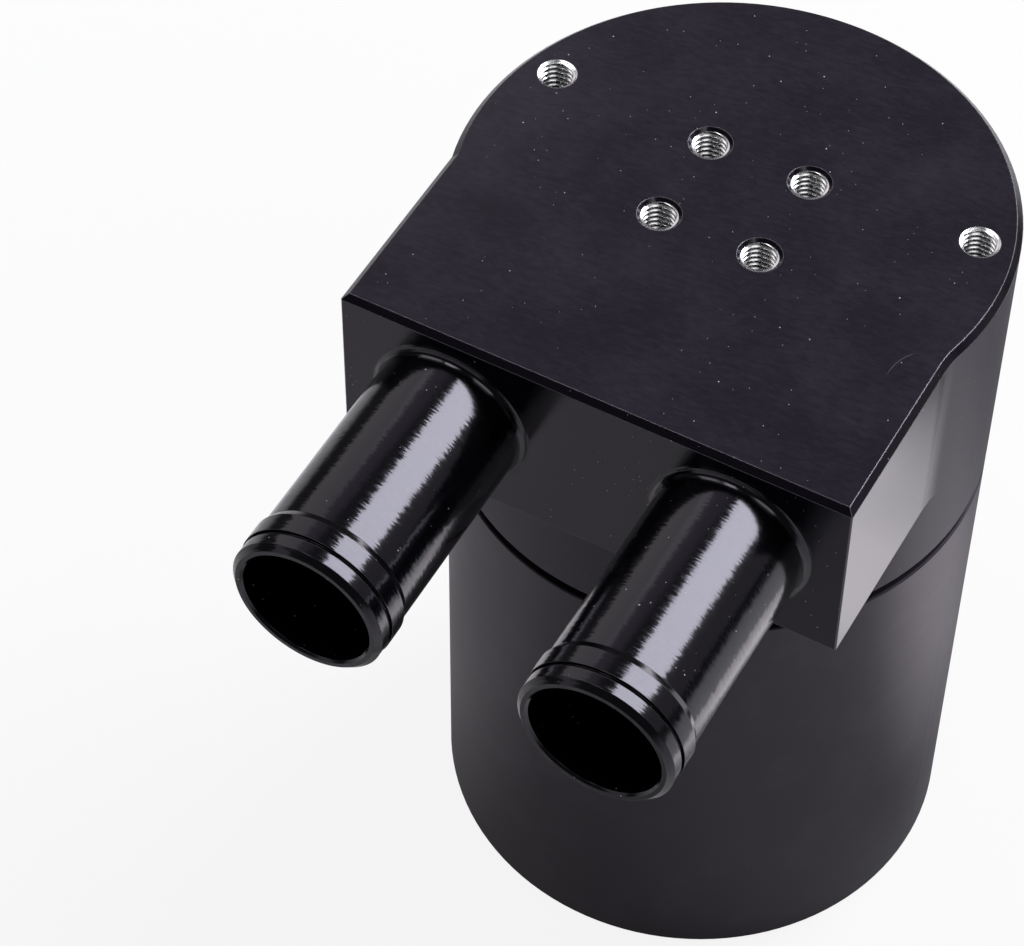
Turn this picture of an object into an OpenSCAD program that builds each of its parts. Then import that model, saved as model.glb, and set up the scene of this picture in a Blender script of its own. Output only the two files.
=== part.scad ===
// Oil catch can: a billet head with two hose barbs, screwed on a plain turned cup.
// The origin is the centre of the cup's base, +Z is up and the barbs point along -Y.

/* [Cup] */
// Outside diameter of the cup and of the head's round part
can_d = 88.9; // [84:0.1:96]
// Height of the cup from its base to its rim
cup_h = 92.4; // [88:0.1:130]
// Wall thickness of the cup below its thread
cup_wall = 3.2; // [2.8:0.1:4]
// Thickness of the cup's floor
cup_floor = 5; // [4:0.5:8]
// Radius of the corner between the cup's floor and wall, inside
cup_corner = 4; // [2:0.5:6]
// Chamfer round the cup's base
base_chamfer = 0.5; // [0.3:0.1:1]
// Small chamfer on the machined edges at the seam and on the block
edge_break = 0.2; // [0.1:0.05:0.4]

/* [Seam and thread] */
// Gap between the cup's rim and the head, filled by the seal
seam_gap = 2; // [1.2:0.1:2.2]
// How far the seal lies in from the outside of the can
seal_inset = 1; // [0.6:0.1:1.2]
// Clearance between the seal and the neck that it sits on
seal_fit = 0.05; // [0.03:0.01:0.1]
// Lead of the thread between head and cup
thread_pitch = 1.5; // [1:0.25:2]
// Number of turns that the thread is engaged
thread_turns = 6; // [4:1:8]
// How far the cup's thread is cut into its wall, at mid depth
thread_step = 0.4; // [0.3:0.1:0.6]
// Radial clearance between the two threads
thread_fit = 0.05; // [0.03:0.01:0.1]
// Length that the cup's thread runs on past the head's
thread_runout = 0.5; // [0.3:0.1:1]
// Depth of the relief above the head's thread, where the seal sits
relief_depth = 0.7; // [0.5:0.1:1]
// Length of that relief, from the head's shoulder down
relief_l = 2.8; // [2.6:0.1:4]
// Length of the pilot below the head's thread
pilot_l = 2; // [1:0.5:4]
// Radial gap between the pilot and the cup's bore
pilot_gap = 0.25; // [0.2:0.05:0.4]

/* [Head] */
// Height of the head above its shoulder
head_h = 49.6; // [46:0.1:60]
// Chamfer all round the top of the head
top_chamfer = 1; // [0.6:0.1:1.5]
// How far the block's sides lie in from the side of the round part
side_inset = 1.8; // [1:0.1:3]
// How far the front face stands out past the round part
face_proud = 1.9; // [1:0.05:6]
// Depth of the block that carries the barbs, from the top of the head
block_h = 33.3; // [31:0.1:40]
// Radius of the hollow curve between the block's sides and the round part
blend_r = 16; // [8:0.5:24]

/* [Hose barbs] */
// Distance of each barb's axis in from the side of the block
barb_inset = 18.8; // [18:0.05:21]
// Depth of the barbs' axes below the top of the head
barb_drop = 16.6; // [15.6:0.1:17.4]
// Length of each barb from the front face
barb_l = 42.8; // [30:0.1:60]
// Diameter of the barb's shank
barb_d = 24.8; // [23.6:0.1:25.6]
// Bore through the barb and into the head
barb_bore = 21.4; // [20:0.1:21.8]
// Radius of the fillet where the barb meets the front face
root_r = 1.4; // [0.8:0.1:1.8]
// How far the bead stands above the shank, in radius
bead_rise = 0.5; // [0.3:0.05:0.8]
// Distance from the tip to the start of the ramp up to the bead
ramp_at = 8; // [7.5:0.1:10]
// Length of that ramp
ramp_l = 1.2; // [0.6:0.1:2]
// Distance from the tip to the groove's far side
groove_at = 3.5; // [2.8:0.1:4]
// Width of the groove
groove_w = 0.6; // [0.4:0.1:1]
// Depth of the groove below the bead
groove_depth = 0.6; // [0.3:0.1:0.8]
// Drop from the bead to the land at the tip, in radius
land_drop = 0.2; // [0.1:0.05:0.3]
// Length of the outer chamfer at the tip
tip_chamfer = 0.9; // [0.6:0.1:1.4]
// Chamfer on the inner edge of the mouth
mouth_chamfer = 0.4; // [0.2:0.1:0.8]

/* [Tapped holes] */
// Thread size of the tapped holes
screw_d = 6; // [5:1:6]
// Full thread depth of each tapped hole
tap_depth = 12; // [8:1:12]
// Spacing of the four middle holes, the same both ways
four_spacing = 17.2; // [16:0.1:18]
// Distance of their middle behind the can's axis
four_back = 0.45; // [0:0.05:1]
// Diameter of the countersink on the four middle holes
four_sink_d = 7.1; // [6.4:0.1:8]
// Distance of the two outer holes in from the side of the can
pair_inset = 7.8; // [7:0.05:10]
// Distance of the two outer holes behind the can's axis
pair_back = 10.6; // [6:0.1:12]
// Diameter of the small countersink on the two outer holes
pair_sink_d = 6.4; // [6.2:0.1:7]

/* [Passages inside the head] */
// Distance of the upright passages in front of the can's axis
passage_front = 4; // [2:0.5:6]
// Diameter of the upright passages, and the bore of the drop tube
passage_d = 18; // [16:0.5:18]
// How far each barb's bore runs on behind the upright passage's axis
bore_over = 5; // [3:0.5:6]
// Metal left between the barbs' bores and the hollow below them
port_deck = 8.7; // [7.5:0.1:11.5]
// Depth of the seats for the drop tube and the filter
seat_depth = 7; // [4:0.5:7.5]
// Radial clearance of the drop tube and of the filter in their seats
seat_fit = 0.02; // [0.01:0.01:0.05]
// Thickness of the head's skirt round the hollow, at the pilot
skirt_wall = 5; // [4:0.1:6]

/* [Drop tube and filter] */
// Wall thickness of the drop tube
tube_wall = 1; // [0.8:0.1:1.5]
// Length of the drop tube below the lower plate
tube_below = 10; // [6:0.5:14]
// Length of the sintered filter below its seat
filter_l = 20; // [12:0.5:22]
// Outside diameter of the sintered filter below its seat
filter_d = 17; // [14:0.5:18]
// Wall thickness of the sintered filter
filter_wall = 2.4; // [1.5:0.1:3]

/* [Baffle stack] */
// Thickness of the two pierced plates
plate_t = 1.5; // [1:0.1:2]
// Gap round the plates, to the cup's bore
plate_gap = 0.35; // [0.3:0.05:0.6]
// Diameter of the holes in the pierced plates
pierce_d = 3.6; // [3:0.1:4]
// Distance between neighbouring holes in the pierced plates
pierce_pitch = 6.6; // [6:0.1:8]
// Height of the mesh pack between the plates
mesh_h = 20; // [14:0.5:22]
// Gap round the mesh pack, to the cup's bore
mesh_gap = 0.6; // [0.5:0.1:1]
// Clearance round what passes through the plates and the mesh
pass_gap = 0.3; // [0.2:0.05:0.5]
// Distance between the lower plate and the splash plate
splash_drop = 22; // [16:0.5:24]
// Thickness of the splash plate
splash_t = 1.5; // [1:0.1:2]
// Gap round the splash plate, to the cup's bore
splash_gap = 3; // [2:0.5:5]
// Number of scallops round the splash plate
splash_scallops = 12; // [8:1:16]
// Radius of each scallop
scallop_r = 4; // [3:0.5:5]

/* [Tie rods] */
// Thread size of the tie rods
rod_d = 5; // [4:0.5:5]
// Distance of the rods in from the wall of the hollow
rod_inset = 5.1; // [4.8:0.1:6]
// Depth of the rods' tapped holes in the head
rod_tap = 8; // [6:0.5:8]
// Clearance round a rod in its tapped hole
rod_fit = 0.02; // [0.01:0.01:0.05]
// Outside diameter of the spacer sleeves
sleeve_d = 9; // [8:0.5:10]
// Thickness of the washers below the splash plate
washer_t = 1; // [0.8:0.1:1.2]
// Outside diameter of the washers
washer_d = 10; // [9:0.5:11]
// Width across the flats of the nuts
nut_af = 8; // [7:0.5:8]
// Height of the nuts
nut_h = 4; // [3:0.5:5]
// Length of rod that shows below the nuts
rod_end = 2; // [1:0.5:3]

/* [Hidden] */

// Facets of large rounds, of small rounds and of the pierced holes
fine = 144;
medium = 64;
coarse = 24;
// Overshoot of a cutter past the face that it cuts
over = 1;
// Segments in a small drawn arc
arc_steps = 6;
// Half angle of a drill's point, and of a countersink
drill_angle = 59;
sink_angle = 45;

black_metal = [0.03, 0.03, 0.035];
bare_metal = [0.75, 0.75, 0.77];
steel = [0.62, 0.63, 0.65];
bronze = [0.55, 0.38, 0.2];
rubber = [0.02, 0.02, 0.02];

// Radii of the cup, and of the parts of the head that go into it
can_r = can_d / 2;
bore_r = can_r - cup_wall;
mouth_r = bore_r + thread_step;
thread_r = mouth_r - thread_fit;
relief_r = thread_r - relief_depth;
pilot_r = bore_r - pilot_gap;
thread_l = thread_turns * thread_pitch;

// Levels from the base up
shoulder_z = cup_h + seam_gap;
relief_z = shoulder_z - relief_l;
thread_z = relief_z - thread_l;
skirt_z = thread_z - pilot_l;
top_z = shoulder_z + head_h;
block_z = top_z - block_h;
barb_z = top_z - barb_drop;
mouth_z = thread_z - thread_runout;

// Outline of the head: the block's half width and front face, and the blend
block_x = can_r - side_inset;
face_y = -can_r - face_proud;
blend_x = block_x + blend_r;
blend_y = -sqrt(pow(can_r + blend_r, 2) - pow(blend_x, 2));
blend_reach = 5;

// Hose barbs
barb_x = block_x - barb_inset;
shank_r = barb_d / 2;
bead_r = shank_r + bead_rise;
land_r = bead_r - land_drop;
port_r = barb_bore / 2;

// Passages: the hollow below, and the seats that open into it
passage_r = passage_d / 2;
hollow_r = pilot_r - skirt_wall;
hollow_z = barb_z - port_r - port_deck;
tube_r = passage_r + tube_wall;
seat_r = tube_r + seat_fit;
seat_z = hollow_z + seat_depth;

// Baffle stack, from the skirt down
plate_r = bore_r - plate_gap;
mesh_top = skirt_z - plate_t;
mesh_bottom = mesh_top - mesh_h;
lower_z = mesh_bottom - plate_t;
splash_top = lower_z - splash_drop;
splash_z = splash_top - splash_t;
washer_z = splash_z - washer_t;
nut_z = washer_z - nut_h;
rod_z = nut_z - rod_end;
tube_z = lower_z - tube_below;

// Tie rods
rod_r = rod_d / 2;
rod_circle = hollow_r - rod_inset;
rod_hole_r = rod_r + rod_fit;
sleeve_hole_r = rod_r + pass_gap;
sleeve_r = sleeve_d / 2;
front = rod_circle * [0, -1];
right = rod_circle * [cos(30), sin(30)];
left = rod_circle * [-cos(30), sin(30)];

function arc(centre, r, from, to) = [
    for (i = [0:arc_steps]) let (a = from + (to - from) * i / arc_steps)
        centre + r * [cos(a), sin(a)]
];

// A shape at each tie rod's place
module at_rods() {
    for (place = [front, right, left])
        translate(place) children();
}

// A shape on both sides of the can's middle plane
module both_sides() {
    for (side = [-1, 1])
        translate([side * barb_x, 0, 0]) children();
}

module ring(outer_r, inner_r, h, facets) {
    difference() {
        cylinder(h = h, r = outer_r, $fn = facets);
        translate([0, 0, -over]) cylinder(h = h + 2 * over, r = inner_r, $fn = facets);
    }
}

module cup() {
    color(black_metal)
        rotate_extrude($fn = fine)
            polygon(concat(
                [
                    [0, 0],
                    [can_r - base_chamfer, 0],
                    [can_r, base_chamfer],
                    [can_r, cup_h - edge_break],
                    [can_r - edge_break, cup_h],
                    [mouth_r + edge_break, cup_h],
                    [mouth_r, cup_h - edge_break],
                    [mouth_r, mouth_z],
                    [bore_r, mouth_z - thread_step]
                ],
                arc([bore_r - cup_corner, cup_floor + cup_corner], cup_corner, 0, -90),
                [[0, cup_floor]]
            ));
}

// The seal fills the seam: a cord pressed flat between rim and shoulder
module seal_ring() {
    inner = relief_r + seal_fit;
    outer = can_r - seal_inset;
    round_r = seam_gap / 2;
    color(rubber)
        translate([0, 0, cup_h])
            rotate_extrude($fn = fine)
                polygon(concat(
                    arc([outer - round_r, round_r], round_r, -90, 90),
                    arc([inner + round_r, round_r], round_r, 90, 270)
                ));
}

// Round part of the head with its threaded neck
module head_round() {
    lead = thread_r - pilot_r;
    rotate_extrude($fn = fine)
        polygon([
            [0, skirt_z],
            [pilot_r - edge_break, skirt_z],
            [pilot_r, skirt_z + edge_break],
            [pilot_r, thread_z],
            [thread_r, thread_z + lead],
            [thread_r, relief_z],
            [relief_r, relief_z],
            [relief_r, shoulder_z],
            [can_r - edge_break, shoulder_z],
            [can_r, shoulder_z + edge_break],
            [can_r, top_z - top_chamfer],
            [can_r - top_chamfer, top_z],
            [0, top_z]
        ]);
}

// Outline of the block's width and height, with its chamfered top edges
module block_across() {
    polygon([
        [-block_x + edge_break, 0],
        [block_x - edge_break, 0],
        [block_x, edge_break],
        [block_x, block_h - top_chamfer],
        [block_x - top_chamfer, block_h],
        [-block_x + top_chamfer, block_h],
        [-block_x, block_h - top_chamfer],
        [-block_x, edge_break]
    ]);
}

// Outline of the block's length and height
module block_along() {
    polygon([
        [0, 0],
        [0, block_h],
        [face_y + top_chamfer, block_h],
        [face_y, block_h - top_chamfer],
        [face_y, edge_break],
        [face_y + edge_break, 0]
    ]);
}

// Outline of the block seen from above
module block_plan() {
    polygon([
        [-block_x, 0],
        [-block_x, face_y + edge_break],
        [-block_x + edge_break, face_y],
        [block_x - edge_break, face_y],
        [block_x, face_y + edge_break],
        [block_x, 0]
    ]);
}

module head_block() {
    translate([0, 0, block_z])
        intersection() {
            linear_extrude(block_h) block_plan();
            rotate([90, 0, 0]) linear_extrude(-face_y) block_across();
            rotate([90, 0, 90])
                translate([0, 0, -block_x]) linear_extrude(2 * block_x) block_along();
        }
}

// Hollow curve from the block's side into the round part, on the +X side
module blend() {
    on_round = [blend_x, blend_y] / (can_r + blend_r);
    difference() {
        translate([0, 0, block_z])
            linear_extrude(block_h)
                polygon([
                    [block_x - blend_reach, blend_y],
                    [block_x + blend_reach, blend_y],
                    on_round * (can_r + blend_reach),
                    on_round * (can_r - blend_reach)
                ]);
        translate([blend_x, blend_y, block_z - over])
            cylinder(h = block_h + 2 * over, r = blend_r, $fn = fine);
        translate([blend_x, blend_y, top_z - top_chamfer])
            cylinder(h = top_chamfer + over, r1 = blend_r, r2 = blend_r + top_chamfer + over, $fn = fine);
    }
}

// One barb, turned on the head's own billet, with its root fillet flush on the front face
module barb(side) {
    color(black_metal)
        translate([side * barb_x, face_y, barb_z]) rotate([90, 0, 0]) barb_turned();
}

// The barb's section turned about +Z, from its root at z = 0 to its mouth
module barb_turned() {
    rotate_extrude($fn = fine)
        polygon(concat(
            [[port_r, 0]],
            arc([shank_r + root_r, root_r], root_r, 270, 180),
            [
                [shank_r, barb_l - ramp_at],
                [bead_r, barb_l - ramp_at + ramp_l],
                [bead_r, barb_l - groove_at],
                [bead_r - groove_depth, barb_l - groove_at],
                [bead_r - groove_depth, barb_l - groove_at + groove_w],
                [land_r, barb_l - groove_at + groove_w],
                [land_r, barb_l - tip_chamfer],
                [land_r - tip_chamfer, barb_l],
                [port_r + mouth_chamfer, barb_l],
                [port_r, barb_l - mouth_chamfer]
            ]
        ));
}

// The barbs' bores, run on into the head past the upright passages
module head_ports() {
    depth = -face_y - passage_front + bore_over;
    both_sides()
        translate([0, face_y + depth, barb_z])
            rotate([90, 0, 0]) cylinder(h = depth + over, r = port_r, $fn = fine);
}

// A tapped hole at nominal thread size, with its countersink and drill point
module tapped_hole(sink_d) {
    hole_r = screw_d / 2;
    sink_r = sink_d / 2;
    rotate_extrude($fn = medium)
        polygon([
            [0, -tap_depth - hole_r / tan(drill_angle)],
            [hole_r, -tap_depth],
            [hole_r, -(sink_r - hole_r) / tan(sink_angle)],
            [sink_r, 0],
            [sink_r + over, over / tan(sink_angle)],
            [0, over / tan(sink_angle)]
        ]);
}

module top_holes() {
    translate([0, 0, top_z]) {
        for (x = [-1, 1], y = [-1, 1])
            translate([0, four_back] + [x, y] * four_spacing / 2) tapped_hole(four_sink_d);
        for (x = [-1, 1])
            translate([x * (can_r - pair_inset), pair_back]) tapped_hole(pair_sink_d);
    }
}

// Hollow under the head, the upright passages, their seats and the rods' holes
module head_hollow() {
    translate([0, 0, skirt_z - over])
        cylinder(h = hollow_z - skirt_z + over, r = hollow_r, $fn = fine);
    both_sides()
        translate([0, -passage_front, hollow_z - over]) {
            cylinder(h = barb_z - hollow_z + over, r = passage_r, $fn = medium);
            cylinder(h = seat_depth + over, r = seat_r, $fn = medium);
        }
    at_rods()
        translate([0, 0, hollow_z - over]) cylinder(h = rod_tap + over, r = rod_hole_r, $fn = medium);
}

module head() {
    color(black_metal)
        difference() {
            union() {
                head_round();
                head_block();
                blend();
                mirror([1, 0, 0]) blend();
            }
            head_ports();
            head_hollow();
            top_holes();
        }
}

module drop_tube() {
    color(bare_metal)
        translate([-barb_x, -passage_front, tube_z])
            ring(tube_r, passage_r, seat_z - tube_z, medium);
}

// Thimble of sintered bronze, its collar held in the seat and its end domed
module outlet_filter() {
    outer = filter_d / 2;
    inner = outer - filter_wall;
    end_z = -filter_l;
    color(bronze)
        translate([barb_x, -passage_front, hollow_z])
            rotate_extrude($fn = medium)
                polygon(concat(
                    [[0, end_z]],
                    arc([outer - filter_wall, end_z + filter_wall], filter_wall, -90, 0),
                    [
                        [outer, 0],
                        [tube_r, 0],
                        [tube_r, seat_depth],
                        [inner, seat_depth],
                        [inner, end_z + filter_wall],
                        [0, end_z + filter_wall]
                    ]
                ));
}

// Places of the pierced holes: a staggered grid inside the hollow, clear of what passes through
function pierced() = let (
        row_h = pierce_pitch * sin(60),
        rows = floor(hollow_r / row_h),
        rod_keep = sleeve_r + pierce_d,
        tube_keep = tube_r + pierce_d,
        limit = hollow_r - pierce_d / 2
    ) [
        for (j = [-rows:rows], i = [-rows:rows])
            let (p = [(i + (j % 2 == 0 ? 0 : 0.5)) * pierce_pitch, j * row_h])
            if (norm(p) < limit
                && norm(p - [-barb_x, -passage_front]) > tube_keep
                && min([for (place = [front, right, left]) norm(p - place)]) > rod_keep)
                p
    ];

module pierced_plate(z) {
    color(steel)
        translate([0, 0, z])
            linear_extrude(plate_t)
                difference() {
                    circle(r = plate_r, $fn = fine);
                    translate([-barb_x, -passage_front]) circle(r = tube_r + pass_gap, $fn = medium);
                    at_rods() circle(r = sleeve_hole_r, $fn = coarse);
                    for (p = pierced())
                        translate(p) circle(d = pierce_d, $fn = coarse);
                }
}

module upper_plate() pierced_plate(mesh_top);

module lower_plate() pierced_plate(lower_z);

module mesh_pack() {
    color(steel)
        translate([0, 0, mesh_bottom])
            linear_extrude(mesh_h)
                difference() {
                    circle(r = bore_r - mesh_gap, $fn = fine);
                    translate([-barb_x, -passage_front]) circle(r = tube_r + pass_gap, $fn = medium);
                    at_rods() circle(r = sleeve_r + pass_gap, $fn = medium);
                }
}

// Solid plate that keeps the collected oil still, with a scalloped edge to drain past
module splash_plate() {
    splash_r = bore_r - splash_gap;
    color(steel)
        translate([0, 0, splash_z])
            linear_extrude(splash_t)
                difference() {
                    circle(r = splash_r, $fn = fine);
                    at_rods() circle(r = sleeve_hole_r, $fn = coarse);
                    for (i = [0:splash_scallops - 1])
                        rotate(360 * (i + 0.5) / splash_scallops)
                            translate([splash_r + scallop_r / 2, 0]) circle(r = scallop_r, $fn = coarse);
                }
}

module tie_rod(place) {
    color(steel)
        translate([place.x, place.y, rod_z])
            cylinder(h = hollow_z + rod_tap - rod_z, r = rod_r, $fn = medium);
}

module upper_sleeve(place) {
    color(bare_metal)
        translate([place.x, place.y, mesh_bottom]) ring(sleeve_r, sleeve_hole_r, mesh_h, medium);
}

module lower_sleeve(place) {
    color(bare_metal)
        translate([place.x, place.y, splash_top]) ring(sleeve_r, sleeve_hole_r, splash_drop, medium);
}

module tie_washers() {
    color(steel)
        at_rods()
            translate([0, 0, washer_z]) ring(washer_d / 2, sleeve_hole_r, washer_t, medium);
}

module tie_nuts() {
    color(steel)
        at_rods()
            translate([0, 0, nut_z])
                difference() {
                    cylinder(h = nut_h, d = nut_af / cos(30), $fn = 6);
                    translate([0, 0, -over]) cylinder(h = nut_h + 2 * over, r = rod_hole_r, $fn = medium);
                }
}

cup();
seal_ring();
head();
barb(-1);  // barb_left
barb(1);  // barb_right
drop_tube();
outlet_filter();
upper_plate();
lower_plate();
mesh_pack();
splash_plate();
tie_rod(front);  // tie_rod_front
tie_rod(right);  // tie_rod_right
tie_rod(left);  // tie_rod_left
upper_sleeve(front);  // upper_sleeve_front
upper_sleeve(right);  // upper_sleeve_right
upper_sleeve(left);  // upper_sleeve_left
lower_sleeve(front);  // lower_sleeve_front
lower_sleeve(right);  // lower_sleeve_right
lower_sleeve(left);  // lower_sleeve_left
tie_washers();
tie_nuts();
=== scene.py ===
# Oil catch can: finishes, tapped threads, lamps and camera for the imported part
import math

import bpy
import numpy as np
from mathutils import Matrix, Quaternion, Vector


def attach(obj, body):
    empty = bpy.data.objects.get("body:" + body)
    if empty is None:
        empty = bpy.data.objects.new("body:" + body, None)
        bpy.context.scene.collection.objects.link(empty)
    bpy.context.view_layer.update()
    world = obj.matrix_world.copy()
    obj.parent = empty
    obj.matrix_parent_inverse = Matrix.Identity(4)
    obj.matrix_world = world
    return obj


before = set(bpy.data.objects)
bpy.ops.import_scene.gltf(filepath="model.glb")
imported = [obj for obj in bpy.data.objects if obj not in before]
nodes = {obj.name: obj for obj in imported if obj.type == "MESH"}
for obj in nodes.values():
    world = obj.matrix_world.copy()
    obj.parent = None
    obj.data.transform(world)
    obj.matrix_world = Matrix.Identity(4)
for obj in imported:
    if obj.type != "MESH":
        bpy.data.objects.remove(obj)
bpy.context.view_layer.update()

scene = bpy.context.scene
mm = 0.001
white = (1, 1, 1, 1)
print("frame loaded:", len(nodes), "nodes")


# A new object, shown in the scene
def addObject(name, data):
    made = bpy.data.objects.new(name, data)
    scene.collection.objects.link(made)
    return made


# Camera: in front of the can and to its right, looking down through a long lens
camera = {
    "place": (0.15227, -0.34825, 0.54907),
    "turn": (38.696, -0.329, 29.106),   # degrees about X, Y and Z
    "lens": 126.60,
    "sensor": 36,
}
cameraData = bpy.data.cameras.new("canCamera")
cameraData.lens = camera["lens"]
cameraData.sensor_width = camera["sensor"]
cameraObject = addObject("canCamera", cameraData)
cameraObject.location = camera["place"]
cameraObject.rotation_euler = [math.radians(a) for a in camera["turn"]]
scene.camera = cameraObject
scene.view_settings.view_transform = "Standard"
print("camera placed")


# Lamps: soft panels that face the aim point, one of them rolled about that line by some degrees;
# glow is how bright the panel itself is
aim = Vector((0, -0.03, 0.12))
lamps = {
    "backPanel": {"towards": (0.375, 0.54, 0.753), "far": 0.95, "wide": 0.66, "high": 0.30,
                  "glow": 9.8, "colour": (0.92, 0.95, 1.0), "roll": 42.3},
    "backLow": {"towards": (0.34, 0.86, 0.38), "far": 1.0, "wide": 0.55, "high": 0.50,
                "glow": 4.5, "colour": (0.985, 0.955, 1.0)},
    "backCeiling": {"towards": (-0.34, 0.63, 0.70), "far": 1.0, "wide": 0.50, "high": 0.45,
                    "glow": 0.30, "colour": (0.90, 0.82, 1.0)},
    "leftWall": {"towards": (-0.66, 0.54, 0.52), "far": 1.0, "wide": 0.58, "high": 0.53,
                 "glow": 0.68, "colour": (1.0, 0.95, 0.97)},
    "rightWall": {"towards": (0.76, 0.55, 0.34), "far": 1.0, "wide": 0.36, "high": 0.50,
                  "glow": 0.20, "colour": (0.97, 0.93, 1.0)},
    "frontWall": {"towards": (-0.35, -0.92, 0.18), "far": 1.2, "wide": 1.3, "high": 0.55,
                  "glow": 0.45, "colour": (1.0, 0.97, 1.0)},
    "leftCeiling": {"towards": (-0.72, -0.10, 0.80), "far": 1.1, "wide": 0.60, "high": 0.50,
                    "glow": 1.6, "colour": (1.0, 1.0, 1.0)},
    "overhead": {"towards": (-0.27, -0.06, 0.96), "far": 1.1, "wide": 0.40, "high": 0.30,
                 "glow": 3.5, "colour": (1.0, 1.0, 1.0)},
    "rightCeiling": {"towards": (0.62, -0.16, 0.85), "far": 1.1, "wide": 0.60, "high": 0.50,
                     "glow": 1.6, "colour": (1.0, 1.0, 1.0)},
}


def addLamp(name, lamp):
    panel = bpy.data.lights.new(name, "AREA")
    panel.shape = "RECTANGLE"
    panel.size = lamp["wide"]
    panel.size_y = lamp["high"]
    panel.energy = lamp["glow"] * math.pi * lamp["wide"] * lamp["high"]
    panel.color = lamp["colour"]
    stand = addObject(name, panel)
    towards = Vector(lamp["towards"]).normalized()
    stand.location = aim + towards * lamp["far"]
    stand.rotation_mode = "QUATERNION"
    roll = Quaternion((0, 0, 1), math.radians(lamp.get("roll", 0)))
    stand.rotation_quaternion = towards.to_track_quat("Z", "Y") @ roll
    stand.visible_camera = False


for name, lamp in lamps.items():
    addLamp(name, lamp)
print("lamps:", len(lamps))


# Sets a node's inputs, each to a value or to a link from a socket
def feed(tree, node, inputs):
    for key, value in inputs.items():
        if isinstance(value, bpy.types.NodeSocket):
            tree.links.new(value, node.inputs[key])
        else:
            node.inputs[key].default_value = value


# Adds a shader node
def addNode(tree, kind, inputs=None, **settings):
    made = tree.nodes.new("ShaderNode" + kind)
    for key, value in settings.items():
        setattr(made, key, value)
    feed(tree, made, inputs or {})
    return made


# One step of arithmetic on sockets or numbers
def calc(tree, operation, *values, clamp=False):
    inputs = dict(enumerate(values))
    return addNode(tree, "Math", inputs, operation=operation, use_clamp=clamp).outputs[0]


# One step of arithmetic on vectors; where the answer is a number, it is the output Value
def calcVector(tree, operation, *values, output="Vector"):
    made = addNode(tree, "VectorMath", dict(enumerate(values)), operation=operation)
    return made.outputs[output]


# Blends two colours by a share from 0 to 1
def blendColour(tree, share, first, second):
    return addNode(tree, "Mix", {0: share, 6: first, 7: second}, data_type="RGBA").outputs[2]


# Carries a value from one span to another, held at both ends
def carry(tree, value, low, high, toLow, toHigh):
    return addNode(tree, "MapRange", {0: value, 1: low, 2: high, 3: toLow, 4: toHigh}).outputs[0]


# 1 where a value lies between two limits, else 0
def between(tree, value, low, high):
    above = calc(tree, "GREATER_THAN", value, low)
    return calc(tree, "MULTIPLY", above, calc(tree, "LESS_THAN", value, high))


# The X, Y and Z of a point
def split(tree, spot):
    return addNode(tree, "SeparateXYZ", {0: spot}).outputs


# 1 for the camera's own rays, and 1 for rays off or through a surface that shines
def tellRays(tree):
    path = addNode(tree, "LightPath").outputs
    shiny = calc(tree, "MAXIMUM", path["Is Glossy Ray"], path["Is Transmission Ray"])
    return path["Is Camera Ray"], shiny


# Floor and surroundings: a white table in a dim room, with a little of the table's own shadows
surroundings = {
    "floorHalf": 4.0,
    "floorColour": (0.86, 0.86, 0.86, 1),
    "lift": 0.87,          # how far the camera sees the table lifted to plain white near the can
    "liftRest": 0.12,      # metres from the can at which the lift begins to grow
    "liftFull": 0.40,      # and where it is whole
    "nearCan": 0.08,       # the can's reflections show the table mostly in a plain tone up to here
    "farFromCan": 0.16,    # and mostly as it is lit from here on
    "nearShare": 0.60,
    "farShare": 0.05,
    "shinyTone": 0.20,     # the plain tone, to which each painted reflection patch adds its glow
    "shinyColour": (0.985, 0.945, 1.0, 1),
    # Painted reflections: glowing and darkened patches of the table that only the can's reflections show:
    # place, half sizes, soft edges, glow
    "reflectionPatches": {
        "side": ((0.074, 0.046), (0.006, 0.010), (0.010, 0.062), 1.22),
        "sideFront": ((0.072, 0.004), (0.008, 0.006), (0.020, 0.030), -0.30),
        "right": ((0.136, 0.045), (0.045, 0.030), (0.012, 0.020), 1.65),
        "rightBack": ((0.108, 0.104), (0.040, 0.030), (0.020, 0.030), -0.14),
        "left": ((-0.075, -0.045), (0.020, 0.040), (0.030, 0.030), 0.30),
        "farLeft": ((-0.150, 0.040), (0.050, 0.030), (0.030, 0.030), 0.65),
        "front": ((-0.100, -0.140), (0.040, 0.020), (0.040, 0.040), 0.24),
        "frontRight": ((0.010, -0.145), (0.020, 0.030), (0.040, 0.030), 0.04),
    },
    "dimPlace": (0.03, 0.150, 0),    # round here, behind the can, they show the plain tone too: a painted shadow of the can, seen only in its reflections
    "dimFull": 0.051,
    "dimReach": 0.085,
    "dimShare": 0.8,
    "roomDim": 0.035,
    "roomGloss": 0.02,     # reflections show the room brighter by this
}


# 1 inside a soft-edged rectangle of the table, falling to 0 outside it
def softRectangle(tree, spot, place, half, soft):
    sides = []
    for part, middle, inner, edge in zip(split(tree, spot), place, half, soft):
        reach = calc(tree, "ABSOLUTE", calc(tree, "SUBTRACT", part, middle))
        sides.append(carry(tree, reach, inner, inner + edge, 1.0, 0.0))
    return calc(tree, "MULTIPLY", *sides)


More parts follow.
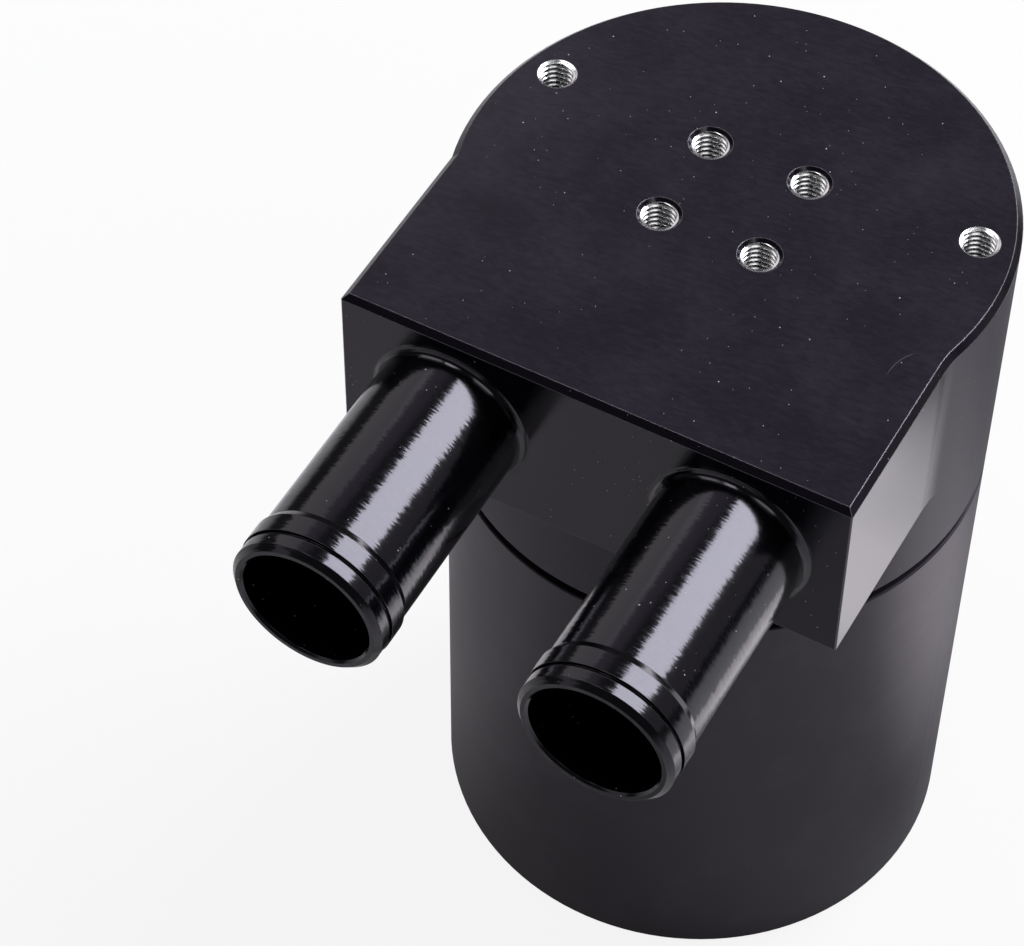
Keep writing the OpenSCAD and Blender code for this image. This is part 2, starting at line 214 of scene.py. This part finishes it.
def buildFloor(s):
    half = s["floorHalf"]
    corners = [(-half, -half, 0), (half, -half, 0), (half, half, 0), (-half, half, 0)]
    table = bpy.data.meshes.new("whiteTable")
    table.from_pydata(corners, [], [(0, 1, 2, 3)])
    floor = addObject("whiteTable", table)
    finish = bpy.data.materials.new("whiteTable")
    finish.use_nodes = True
    tree = finish.node_tree
    tree.nodes.clear()
    byCamera, shiny = tellRays(tree)
    spot = addNode(tree, "TexCoord").outputs["Object"]
    away = calcVector(tree, "LENGTH", spot, output="Value")
    lift = carry(tree, away, s["liftRest"], s["liftFull"], s["lift"], 1.0)
    share = carry(tree, away, s["nearCan"], s["farFromCan"], s["nearShare"], s["farShare"])
    # Painted shadow: behind the can the reflections see the darker plain tone
    fromDim = calcVector(tree, "DISTANCE", spot, s["dimPlace"], output="Value")
    dim = carry(tree, fromDim, s["dimFull"], s["dimReach"], s["dimShare"], 0.0)
    share = calc(tree, "MAXIMUM", share, dim)
    tone = s["shinyTone"]
    # Painted reflections: each patch brightens or darkens the table as the can's reflections see it
    for place, halfSize, soft, glow in s["reflectionPatches"].values():
        paintedPatch = softRectangle(tree, spot, place, halfSize, soft)
        share = calc(tree, "MAXIMUM", share, paintedPatch)
        tone = calc(tree, "MULTIPLY_ADD", paintedPatch, glow, tone)
    lifted = calc(tree, "MULTIPLY", byCamera, lift)
    share = calc(tree, "MULTIPLY_ADD", shiny, share, lifted, clamp=True)
    glow = calc(tree, "MAXIMUM", byCamera, calc(tree, "MULTIPLY", shiny, tone))
    paper = addNode(tree, "BsdfDiffuse", {"Color": s["floorColour"]})
    seen = blendColour(tree, byCamera, s["shinyColour"], white)
    plain = addNode(tree, "Emission", {"Color": seen, "Strength": glow})
    mixed = addNode(tree, "MixShader", {0: share, 1: paper.outputs[0], 2: plain.outputs[0]})
    addNode(tree, "OutputMaterial", {"Surface": mixed.outputs[0]})
    table.materials.append(finish)


def buildRoom(s):
    room = bpy.data.worlds.new("dimRoom")
    room.use_nodes = True
    tree = room.node_tree
    tree.nodes.clear()
    byCamera, shiny = tellRays(tree)
    gloss = calc(tree, "MULTIPLY_ADD", shiny, s["roomGloss"], s["roomDim"])
    share = calc(tree, "MAXIMUM", byCamera, gloss)
    glow = addNode(tree, "Background", {"Color": white, "Strength": share})
    addNode(tree, "OutputWorld", {"Surface": glow.outputs[0]})
    scene.world = room


buildFloor(surroundings)
buildRoom(surroundings)
print("table and room built")


# A new finish with its tree, its shader and the point on the piece that its patterns follow
def newFinish(name):
    finish = bpy.data.materials.new(name)
    finish.use_nodes = True
    tree = finish.node_tree
    shader = tree.nodes["Principled BSDF"]
    spot = addNode(tree, "TexCoord").outputs["Object"]
    return finish, tree, shader, spot


# The span that holds nearly all values of noise, and the middle of its colours
noiseSpan = (0.3, 0.7)
middleGrey = (0.5, 0.5, 0.5)


# Noise whose largest forms are about this size
def noise(tree, spot, size, detail, rough=0.5, warp=0.0, output="Fac"):
    inputs = {"Vector": spot, "Scale": 1 / size, "Detail": detail, "Roughness": rough, "Distortion": warp}
    return addNode(tree, "TexNoise", inputs).outputs[output]


# Space drawn out, so that noise of size 1 comes out this long along an axis and across it, then turned
def drawnOut(tree, spot, axis, along, across, turn=(0, 0, 0)):
    scale = [1 / across] * 3
    scale[axis] = 1 / along
    inputs = {"Vector": spot, "Rotation": turn, "Scale": tuple(scale)}
    return addNode(tree, "Mapping", inputs).outputs[0]


# The normal of a surface that is raised by a height times a depth, in metres
def bump(tree, height, depth=1.0, **inputs):
    inputs.update({"Strength": 1.0, "Distance": depth, "Height": height})
    return addNode(tree, "Bump", inputs).outputs[0]


# Specks of dust: the cores of scattered cells, of mixed sizes and gathered in patches
specks = {
    "smallest": 0.4,           # of the full size
    "mostlySmall": 3.0,        # the higher, the fewer large ones
    "patchesPerCell": 0.11,
    "sparse": 0.38,            # values of the patches' noise with the fewest specks
    "crowded": 0.56,           # and with the most
    "fewest": 0.15,            # of the most
    "rough": 0.8,              # roughness of a speck
}


def dustSpecks(tree, spot, s):
    cells = addNode(tree, "TexVoronoi", {"Vector": spot, "Scale": 1 / s["cell"]}, feature="F1")
    pick = addNode(tree, "SeparateColor", {0: cells.outputs["Color"]})
    full = s["size"] / s["cell"]
    least = specks["smallest"] * full
    size = calc(tree, "POWER", pick.outputs[1], specks["mostlySmall"])
    size = calc(tree, "MULTIPLY_ADD", size, full - least, least)
    core = calc(tree, "LESS_THAN", cells.outputs["Distance"], size)
    patches = noise(tree, spot, s["cell"] / specks["patchesPerCell"], detail=2.0)
    fewest = specks["fewest"] * s["share"]
    share = carry(tree, patches, specks["sparse"], specks["crowded"], fewest, s["share"])
    return calc(tree, "MULTIPLY", core, calc(tree, "LESS_THAN", pick.outputs[0], share))


# One faint scratch: a short stretch of a circle that fades towards both ends
def scratchArc(tree, spot, s):
    offMiddle = calcVector(tree, "DISTANCE", spot, s["middle"], output="Value")
    offCentre = calcVector(tree, "DISTANCE", spot, s["centre"], output="Value")
    radius = math.dist(s["middle"], s["centre"])
    offLine = calc(tree, "ABSOLUTE", calc(tree, "SUBTRACT", offCentre, radius))
    along = carry(tree, offMiddle, s["fadeFrom"], s["reach"], s["faintness"], 0.0)
    return calc(tree, "MULTIPLY", carry(tree, offLine, 0.0, s["width"], 1.0, 0.0), along)


# Turned rings: noise squeezed along the axis of turning and drawn out around it
def turnedRings(tree, spot, axis, s):
    squeezed = drawnOut(tree, spot, axis, s["ringPitch"], s["ringLength"])
    return noise(tree, squeezed, 1.0, detail=2.5, rough=0.6)


# The normal of a turned piece, where each ring leans its own small way across the axis
def leaningRings(tree, spot, axis, s, normal):
    squeezed = drawnOut(tree, spot, axis, s["ringPitch"], s["ringLength"])
    ways = noise(tree, squeezed, 1.0, detail=1.0, output="Color")
    centred = calcVector(tree, "SUBTRACT", ways, middleGrey)
    spread = [s["ringLean"]] * 3
    spread[axis] = 0
    leaned = calcVector(tree, "ADD", normal, calcVector(tree, "MULTIPLY", centred, tuple(spread)))
    return calcVector(tree, "NORMALIZE", leaned)


# Edges rounded a little, and where they are: the rounded normal set against the flat one. The finishes
# paint these edges lighter, partly edge wear and partly a painted highlight
edges = {
    "samples": 6,
    "begins": 0.985,    # agreement of the two normals at which an edge begins to show
    "full": 0.80,       # and shows in full
}


def brokenEdges(tree, radius):
    rounded = addNode(tree, "Bevel", {"Radius": radius}, samples=edges["samples"]).outputs["Normal"]
    flat = addNode(tree, "NewGeometry").outputs["Normal"]
    agree = calcVector(tree, "DOT_PRODUCT", rounded, flat, output="Value")
    return rounded, carry(tree, agree, edges["begins"], edges["full"], 0.0, 1.0)


# The normal of a screw thread within two heights and two radii: a ridge that climbs one pitch a turn
def screwThread(tree, spot, s, normal):
    x, y, z = split(tree, spot)
    turn = calc(tree, "DIVIDE", calc(tree, "ARCTAN2", y, x), 2 * math.pi)
    phase = calc(tree, "SUBTRACT", calc(tree, "DIVIDE", z, s["pitch"]), turn)
    ridge = calc(tree, "PINGPONG", phase, 0.5)
    flat = addNode(tree, "CombineXYZ", {0: x, 1: y}).outputs[0]
    radius = calcVector(tree, "LENGTH", flat, output="Value")
    band = between(tree, z, s["low"], s["high"])
    here = calc(tree, "MULTIPLY", band, between(tree, radius, s["inner"], s["outer"]))
    height = calc(tree, "MULTIPLY", calc(tree, "MULTIPLY", ridge, here), s["rise"])
    return bump(tree, height, Normal=normal)


# Black anodised billet: milled smooth on top and on the block, turned satin round the back
head = {
    "dark": (0.0015, 0.0009, 0.0034, 1),
    "light": (0.0150, 0.0128, 0.0200, 1),
    "mottle": 14 * mm,
    "strokeAlong": 2.4 * mm,
    "strokeAcross": 0.8 * mm,
    "strokeTurn": -0.12,     # radians about Z
    "strokeWeight": 0.5,
    "marksLow": 0.42,
    "marksHigh": 0.68,
    "roughLow": 0.165,
    "roughHigh": 0.215,
    "roughSide": 0.13,       # the block's two sides
    "roughRound": 0.55,      # the round part and the hollow curves
    "sideInner": 42.3 * mm,
    "sideOuter": 42.5 * mm,
    "flatEnd": -17.0 * mm,
    "roundStart": -11.5 * mm,
    "blockFoot": 110.7 * mm,
    "chamferFoot": 142.9 * mm,
    "topFace": 143.9 * mm,   # the marks show only above here, on the top face itself
    "satinShare": 0.55,
    "tint": (0.93, 0.86, 1.0, 1),
    "ior": 1.58,
    "edgeRadius": 0.20 * mm,
    "edgeHighlightAndWear": (0.42, 0.41, 0.45, 1),
    "dust": {"cell": 1.4 * mm, "size": 0.13 * mm, "share": 0.70},
    "dustColour": (0.42, 0.42, 0.44, 1),
    "scratch": {
        "middle": (36.0 * mm, -17.1 * mm, 144 * mm),
        "centre": (43.6 * mm, -19.6 * mm, 144 * mm),
        "fadeFrom": 2.04 * mm,
        "reach": 3.4 * mm,
        "width": 0.11 * mm,
        "faintness": 0.8,
    },
    "scratchColour": (0.10, 0.10, 0.11, 1),
    "thread": {
        "low": 82.6 * mm,
        "high": 91.6 * mm,
        "inner": 41.3 * mm,
        "outer": 42 * mm,
        "pitch": 1.5 * mm,
        "rise": 0.9 * mm,
    },
}


def finishHead(s):
    finish, tree, shader, spot = newFinish("headAnodised")
    patches = noise(tree, spot, s["mottle"], detail=5.0, rough=0.65)
    turned = addNode(tree, "Mapping", {"Vector": spot, "Rotation": (0, 0, s["strokeTurn"])})
    drawn = drawnOut(tree, turned.outputs[0], 0, s["strokeAlong"], s["strokeAcross"])
    strokes = noise(tree, drawn, 1.0, detail=3.0, rough=0.7, warp=0.6)
    strokes = calc(tree, "MULTIPLY", strokes, s["strokeWeight"])
    marks = calc(tree, "MULTIPLY_ADD", patches, 1 - s["strokeWeight"], strokes)
    x, y, z = split(tree, spot)
    below = calc(tree, "LESS_THAN", z, s["chamferFoot"])
    behind = carry(tree, y, s["flatEnd"], s["roundStart"], 0.0, 1.0)
    behind = calc(tree, "MAXIMUM", behind, calc(tree, "LESS_THAN", z, s["blockFoot"]))
    satin = calc(tree, "MULTIPLY", below, behind)
    onTop = calc(tree, "GREATER_THAN", z, s["topFace"])
    share = carry(tree, marks, s["marksLow"], s["marksHigh"], 0.0, onTop)
    share = calc(tree, "MULTIPLY_ADD", satin, s["satinShare"], share)
    colour = blendColour(tree, share, s["dark"], s["light"])
    rounded, edge = brokenEdges(tree, s["edgeRadius"])
    # Lighter along the rounded edges: partly edge wear, partly a painted highlight
    colour = blendColour(tree, edge, colour, s["edgeHighlightAndWear"])
    colour = blendColour(tree, scratchArc(tree, spot, s["scratch"]), colour, s["scratchColour"])
    dust = dustSpecks(tree, spot, s["dust"])
    colour = blendColour(tree, dust, colour, s["dustColour"])
    rough = carry(tree, patches, *noiseSpan, s["roughLow"], s["roughHigh"])
    sideways = calc(tree, "ABSOLUTE", x)
    toSide = carry(tree, sideways, s["sideInner"], s["sideOuter"], 0.0, below)
    for place, target in ((toSide, s["roughSide"]), (satin, s["roughRound"])):
        rough = calc(tree, "MULTIPLY_ADD", place, calc(tree, "SUBTRACT", target, rough), rough)
    rough = calc(tree, "MAXIMUM", rough, calc(tree, "MULTIPLY", dust, specks["rough"]))
    feed(tree, shader, {
        "Base Color": colour,
        "Roughness": rough,
        "Normal": screwThread(tree, spot, s["thread"], rounded),
        "IOR": s["ior"],
        "Specular Tint": s["tint"],
    })
    return finish


# Barbs: the same black, finely turned, so that a highlight along them frays into the rings
barbs = {
    "dark": (0.0008, 0.0007, 0.0012, 1),
    "light": (0.0026, 0.0022, 0.0036, 1),
    "ringPitch": 0.24 * mm,
    "ringLength": 2.0 * mm,
    "ringLean": 0.15,
    "ringDepth": 0.0016 * mm,
    "grain": 0.16 * mm,
    "grainWeight": 0.5,
    "marksLow": 0.40,
    "marksHigh": 0.65,
    "roughMarks": (0.38, 0.64),
    "roughLow": 0.11,
    "roughHigh": 0.18,
    "faceAt": -46.7 * mm,    # the root fillet runs out into the front face behind here
    "clearAt": -47.0 * mm,   # and the edges are rounded in full from here forward
    "tint": (0.93, 0.88, 1.0, 1),
    "ior": 1.58,
    "edgeRadius": 0.12 * mm,
    "edgeHighlightAndWear": (0.10, 0.10, 0.11, 1),
    "dust": {"cell": 1.1 * mm, "size": 0.13 * mm, "share": 0.5},
    "dustColour": (0.40, 0.40, 0.42, 1),
}


def finishBarbs(s):
    finish, tree, shader, spot = newFinish("barbAnodised")
    rings = turnedRings(tree, spot, 1, s)
    grain = noise(tree, spot, s["grain"], detail=1.0)
    grain = calc(tree, "MULTIPLY", grain, s["grainWeight"])
    marks = calc(tree, "MULTIPLY_ADD", rings, 1 - s["grainWeight"], grain)
    share = carry(tree, marks, s["marksLow"], s["marksHigh"], 0.0, 1.0)
    colour = blendColour(tree, share, s["dark"], s["light"])
    forward = split(tree, spot)[1]
    radius = carry(tree, forward, s["faceAt"], s["clearAt"], 0.0, s["edgeRadius"])
    rounded, edge = brokenEdges(tree, radius)
    # Lighter along the rounded edges: partly edge wear, partly a painted highlight
    colour = blendColour(tree, edge, colour, s["edgeHighlightAndWear"])
    dust = dustSpecks(tree, spot, s["dust"])
    colour = blendColour(tree, dust, colour, s["dustColour"])
    rough = carry(tree, marks, *s["roughMarks"], s["roughLow"], s["roughHigh"])
    rough = calc(tree, "MAXIMUM", rough, calc(tree, "MULTIPLY", dust, specks["rough"]))
    leaned = leaningRings(tree, spot, 1, s, rounded)
    feed(tree, shader, {
        "Base Color": colour,
        "Roughness": rough,
        "Normal": bump(tree, rings, s["ringDepth"], Normal=leaned),
        "IOR": s["ior"],
        "Specular Tint": s["tint"],
    })
    return finish


# Cup: the same black, turned plain, left satin and a little smudged
cup = {
    "dark": (0.0086, 0.0069, 0.0104, 1),
    "light": (0.0128, 0.0103, 0.0155, 1),
    "smudged": (0.0185, 0.0153, 0.0224, 1),
    "smudge": 11 * mm,
    "smudgeLow": 0.50,
    "smudgeHigh": 0.66,
    "ringPitch": 0.30 * mm,
    "ringLength": 30 * mm,
    "roughRings": (0.35, 0.68),
    "roughLow": 0.43,
    "roughHigh": 0.46,
    "tint": (0.95, 0.83, 1.0, 1),
    "ior": 1.52,
    "edgeRadius": 0.16 * mm,
    "edgeHighlightAndWear": (0.10, 0.10, 0.11, 1),
    "dust": {"cell": 7 * mm, "size": 0.16 * mm, "share": 0.3},
    "dustColour": (0.20, 0.20, 0.21, 1),
    "thread": {
        "low": 82.1 * mm,
        "high": 92.2 * mm,
        "inner": 41 * mm,
        "outer": 42 * mm,
        "pitch": 1.5 * mm,
        "rise": 0.9 * mm,
    },
}


def finishCup(s):
    finish, tree, shader, spot = newFinish("cupAnodised")
    rings = turnedRings(tree, spot, 2, s)
    colour = blendColour(tree, rings, s["dark"], s["light"])
    smudges = noise(tree, spot, s["smudge"], detail=4.0, rough=0.6)
    smudges = carry(tree, smudges, s["smudgeLow"], s["smudgeHigh"], 0.0, 1.0)
    colour = blendColour(tree, smudges, colour, s["smudged"])
    rounded, edge = brokenEdges(tree, s["edgeRadius"])
    # Lighter along the rounded edges: partly edge wear, partly a painted highlight
    colour = blendColour(tree, edge, colour, s["edgeHighlightAndWear"])
    colour = blendColour(tree, dustSpecks(tree, spot, s["dust"]), colour, s["dustColour"])
    feed(tree, shader, {
        "Base Color": colour,
        "Roughness": carry(tree, rings, *s["roughRings"], s["roughLow"], s["roughHigh"]),
        "Normal": screwThread(tree, spot, s["thread"], rounded),
        "IOR": s["ior"],
        "Specular Tint": s["tint"],
    })
    return finish


# Seal: matt black rubber with a fine grain
seal = {
    "dark": (0.003, 0.003, 0.003, 1),
    "light": (0.006, 0.006, 0.006, 1),
    "grain": 0.25 * mm,
    "depth": 0.02 * mm,
    "rough": 0.75,
    "shine": 0.12,
}


def finishSeal(s):
    finish, tree, shader, spot = newFinish("sealRubber")
    grain = noise(tree, spot, s["grain"], detail=3.0)
    feed(tree, shader, {
        "Base Color": blendColour(tree, grain, s["dark"], s["light"]),
        "Roughness": s["rough"],
        "Normal": bump(tree, grain, s["depth"]),
        "Specular IOR Level": s["shine"],
    })
    return finish


# Bare metals: brightness and roughness follow fine marks drawn out along one axis
metals = {
    "drawnAluminium": {
        "dark": (0.62, 0.62, 0.64, 1),
        "light": (0.80, 0.80, 0.82, 1),
        "axis": 2,
        "along": 12 * mm,
        "across": 0.15 * mm,
        "roughLow": 0.25,
        "roughHigh": 0.42,
    },
    "stainlessSheet": {
        "dark": (0.42, 0.42, 0.43, 1),
        "light": (0.58, 0.58, 0.58, 1),
        "axis": 0,
        "along": 20 * mm,
        "across": 0.12 * mm,
        "roughLow": 0.24,
        "roughHigh": 0.40,
    },
    "stainlessBar": {
        "dark": (0.45, 0.45, 0.46, 1),
        "light": (0.60, 0.60, 0.61, 1),
        "axis": 2,
        "along": 6 * mm,
        "across": 0.12 * mm,
        "roughLow": 0.22,
        "roughHigh": 0.36,
    },
}


def finishMetal(name, s):
    finish, tree, shader, spot = newFinish(name)
    drawn = drawnOut(tree, spot, s["axis"], s["along"], s["across"])
    marks = noise(tree, drawn, 1.0, detail=3.0)
    feed(tree, shader, {
        "Base Color": blendColour(tree, marks, s["dark"], s["light"]),
        "Roughness": carry(tree, marks, *noiseSpan, s["roughLow"], s["roughHigh"]),
        "Metallic": 1.0,
    })
    return finish


# Tapped threads left bright, darker towards their roots by the depth that each point carries: painted
# shade, partly cutting oil
threads = {
    "bright": (0.95, 0.94, 0.96, 1),
    "dark": (0.012, 0.011, 0.013, 1),
    "crest": 0.15,
    "root": 0.85,
    "grain": 0.3 * mm,
    "roughLow": 0.20,
    "roughHigh": 0.30,
}


def finishThread(s):
    finish, tree, shader, spot = newFinish("threadBright")
    depth = addNode(tree, "Attribute", attribute_name="threadDepth").outputs["Fac"]
    # Darker towards the roots: painted shade, partly cutting oil
    rootShade = carry(tree, depth, s["crest"], s["root"], 0.0, 1.0)
    grain = noise(tree, spot, s["grain"], detail=2.0)
    feed(tree, shader, {
        "Base Color": blendColour(tree, rootShade, s["bright"], s["dark"]),
        "Roughness": carry(tree, grain, *noiseSpan, s["roughLow"], s["roughHigh"]),
        "Metallic": 1.0,
    })
    return finish


# Sintered bronze: small balls fused together, with painted shade in the pores between them
bronze = {
    "dark": (0.10, 0.055, 0.02, 1),
    "light": (0.52, 0.33, 0.15, 1),
    "grain": 0.42 * mm,
    "ball": 0.62,       # a ball's radius, in grains
    "depth": 0.12 * mm,
    "rough": 0.48,
}


def finishBronze(s):
    finish, tree, shader, spot = newFinish("sinteredBronze")
    cells = addNode(tree, "TexVoronoi", {"Vector": spot, "Scale": 1 / s["grain"]}, feature="F1")
    balls = carry(tree, cells.outputs["Distance"], 0.0, s["ball"], 1.0, 0.0)
    feed(tree, shader, {
        # Dark between the balls: painted shade in the pores
        "Base Color": blendColour(tree, balls, s["dark"], s["light"]),
        "Roughness": s["rough"],
        "Normal": bump(tree, balls, s["depth"]),
        "Metallic": 1.0,
    })
    return finish


# Knitted wire: two families of wavering strands, with painted shade where neither passes
mesh = {
    "dark": (0.02, 0.02, 0.02, 1),
    "light": (0.50, 0.50, 0.51, 1),
    "strand": 1.1 * mm,
    "turns": ((0.75, 0.45, 0.3), (-0.75, -0.45, 0.3)),   # radians about X, Y and Z
    "waver": {"Scale": 0.5, "Distortion": 2.5, "Detail": 2.0, "Detail Scale": 0.6},
    "wireFrom": 0.55,
    "wireFull": 0.95,
    "depth": 0.3 * mm,
    "rough": 0.32,
}


def finishMesh(s):
    finish, tree, shader, spot = newFinish("knittedWire")
    strands = []
    for turn in s["turns"]:
        leaned = drawnOut(tree, spot, 2, s["strand"], s["strand"], turn)
        wave = addNode(tree, "TexWave", {"Vector": leaned, **s["waver"]}, bands_direction="Z")
        strands.append(carry(tree, wave.outputs["Fac"], s["wireFrom"], s["wireFull"], 0.0, 1.0))
    wire = calc(tree, "MAXIMUM", *strands)
    feed(tree, shader, {
        # Dark where neither family of strands passes: painted shade in the gaps
        "Base Color": blendColour(tree, wire, s["dark"], s["light"]),
        "Roughness": s["rough"],
        "Normal": bump(tree, wire, s["depth"]),
        "Metallic": 1.0,
    })
    return finish


# Every finish by its name
finishes = {name: finishMetal(name, s) for name, s in metals.items()}
finishes["threads"] = finishThread(threads)
finishes["head"] = finishHead(head)
finishes["barbs"] = finishBarbs(barbs)
finishes["cup"] = finishCup(cup)
finishes["seal"] = finishSeal(seal)
finishes["bronze"] = finishBronze(bronze)
finishes["mesh"] = finishMesh(mesh)


# What each node wears: besides these, sleeves are drawn aluminium and the rest stainless bar
worn = {
    "cup": "cup",
    "seal_ring": "seal",
    "head": "head",
    "barb_left": "barbs",
    "barb_right": "barbs",
    "drop_tube": "drawnAluminium",
    "outlet_filter": "bronze",
    "upper_plate": "stainlessSheet",
    "lower_plate": "stainlessSheet",
    "splash_plate": "stainlessSheet",
    "mesh_pack": "mesh",
}
for name, node in nodes.items():
    other = "drawnAluminium" if "sleeve" in name else "stainlessBar"
    node.data.materials.clear()
    node.data.materials.append(finishes[worn.get(name, other)])
print("finishes put on", len(nodes), "nodes")


# An edge stays sharp where its two faces differ by more than these degrees
sharpAngle = 70


# Puts points, their depths and faces into a new piece that wears a finish and rides on a body
def addPiece(name, points, depths, faces, finish, body):
    made = bpy.data.meshes.new(name)
    made.from_pydata(points.tolist(), [], faces)
    made.materials.append(finish)
    made.polygons.foreach_set("use_smooth", np.ones(len(made.polygons), bool))
    made.set_sharp_from_angle(angle=math.radians(sharpAngle))
    made.attributes.new("threadDepth", "FLOAT", "POINT").data.foreach_set("value", depths)
    made.update()
    piece = addObject(name, made)
    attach(piece, body)


# Tapped holes: the bright thread inside each, as a thin sleeve with a closed foot
taps = {
    "top": 144 * mm,
    "pitch": 1.0 * mm,
    "crest": 2.46 * mm,
    "root": 2.96 * mm,
    "outside": 2.985 * mm,
    "crestFlat": 0.22,      # share of a pitch that its crest takes
    "flanks": 0.66,         # and that its two flanks take together
    "depth": 12 * mm,
    "foot": 1.2 * mm,       # height of the foot's cone
    "footWall": 0.2 * mm,
    "lead": 0.15 * mm,      # depth of the mouth that stays bright
    "leadSlope": 3,         # how much the mouth narrows for its depth
    "around": 60,
    "perPitch": 16,
    "rimBelow": 0.01 * mm,  # the rim lies this far under the top
    "middle": {
        "sink": 0.55 * mm,  # the thread starts this far under the top
        "rim": [],          # radii of a bright rim round the mouth
        "places": [(-8.6, -8.15), (8.6, -8.15), (-8.6, 9.05), (8.6, 9.05)],   # millimetres
    },
    "outer": {
        "sink": 0.20 * mm,
        "rim": [3.175 * mm, 3.150 * mm],
        "places": [(-36.65, 10.6), (36.65, 10.6)],
    },
}


# One thread's points, their depths and faces. The radius is the crest's plus a clipped triangle wave
# that climbs one pitch a turn, opened out by a short steep lead at the mouth.
def tapSurface(s, sink, rim):
    angles = np.linspace(0, 2 * np.pi, s["around"], endpoint=False)
    rows = int(round((s["depth"] - sink) / s["pitch"] * s["perPitch"]))
    heights = np.linspace(-sink, -s["depth"], rows + 1)
    a, z = np.meshgrid(angles, heights)
    cut = s["root"] - s["crest"]
    wave = np.abs(2 * np.mod(z / s["pitch"] - a / (2 * np.pi), 1) - 1)
    radius = s["crest"] + cut * np.clip((wave - s["crestFlat"]) / s["flanks"], 0, 1)
    radius = np.maximum(radius, s["root"] - s["leadSlope"] * (-sink - z))
    inside = np.stack([radius * np.cos(a), radius * np.sin(a), z], -1)
    circle = np.stack([np.cos(angles), np.sin(angles)], -1)
    rings = [(s["outside"], -s["depth"]), (s["outside"], -sink)]
    rings += [(r, -s["rimBelow"]) for r in rim]
    outside = [np.column_stack([circle * r, np.full(len(angles), level)])[None] for r, level in rings]
    grid = np.concatenate(outside + [inside])
    tip = -s["depth"] - s["foot"]
    points = np.vstack([grid.reshape(-1, 3), [[0, 0, tip - s["footWall"]], [0, 0, tip]]])
    depths = np.zeros(grid.shape[:2])
    depths[-len(inside):] = (radius - s["crest"]) / cut * (z < -sink - s["lead"])
    depths = np.append(depths, [1, 1])
    n, m = grid.shape[:2]
    i, j = np.meshgrid(np.arange(n - 1), np.arange(m), indexing="ij")
    k = (j + 1) % m
    quads = np.stack([i * m + j, i * m + k, (i + 1) * m + k, (i + 1) * m + j], -1).reshape(-1, 4)
    j = np.arange(m)
    k = (j + 1) % m
    below = np.stack([np.full(m, n * m), k, j], -1)
    within = np.stack([np.full(m, n * m + 1), (n - 1) * m + j, (n - 1) * m + k], -1)
    return points, depths, quads, np.vstack([below, within])


def buildTaps(name, s, group):
    points, depths, quads, fans = tapSurface(s, group["sink"], group["rim"])
    count = len(group["places"])
    places = np.column_stack([np.array(group["places"]) * mm, np.full(count, s["top"])])
    every = (places[:, None] + points[None]).reshape(-1, 3)
    shift = np.arange(count)[:, None, None] * len(points)
    faces = (quads[None] + shift).reshape(-1, 4).tolist()
    faces += (fans[None] + shift).reshape(-1, 3).tolist()
    addPiece(name, every, np.tile(depths, count), faces, finishes["threads"], "head")


buildTaps("middleTapThreads", taps, taps["middle"])
buildTaps("outerTapThreads", taps, taps["outer"])
print("threads cut in the tapped holes")


print("done")
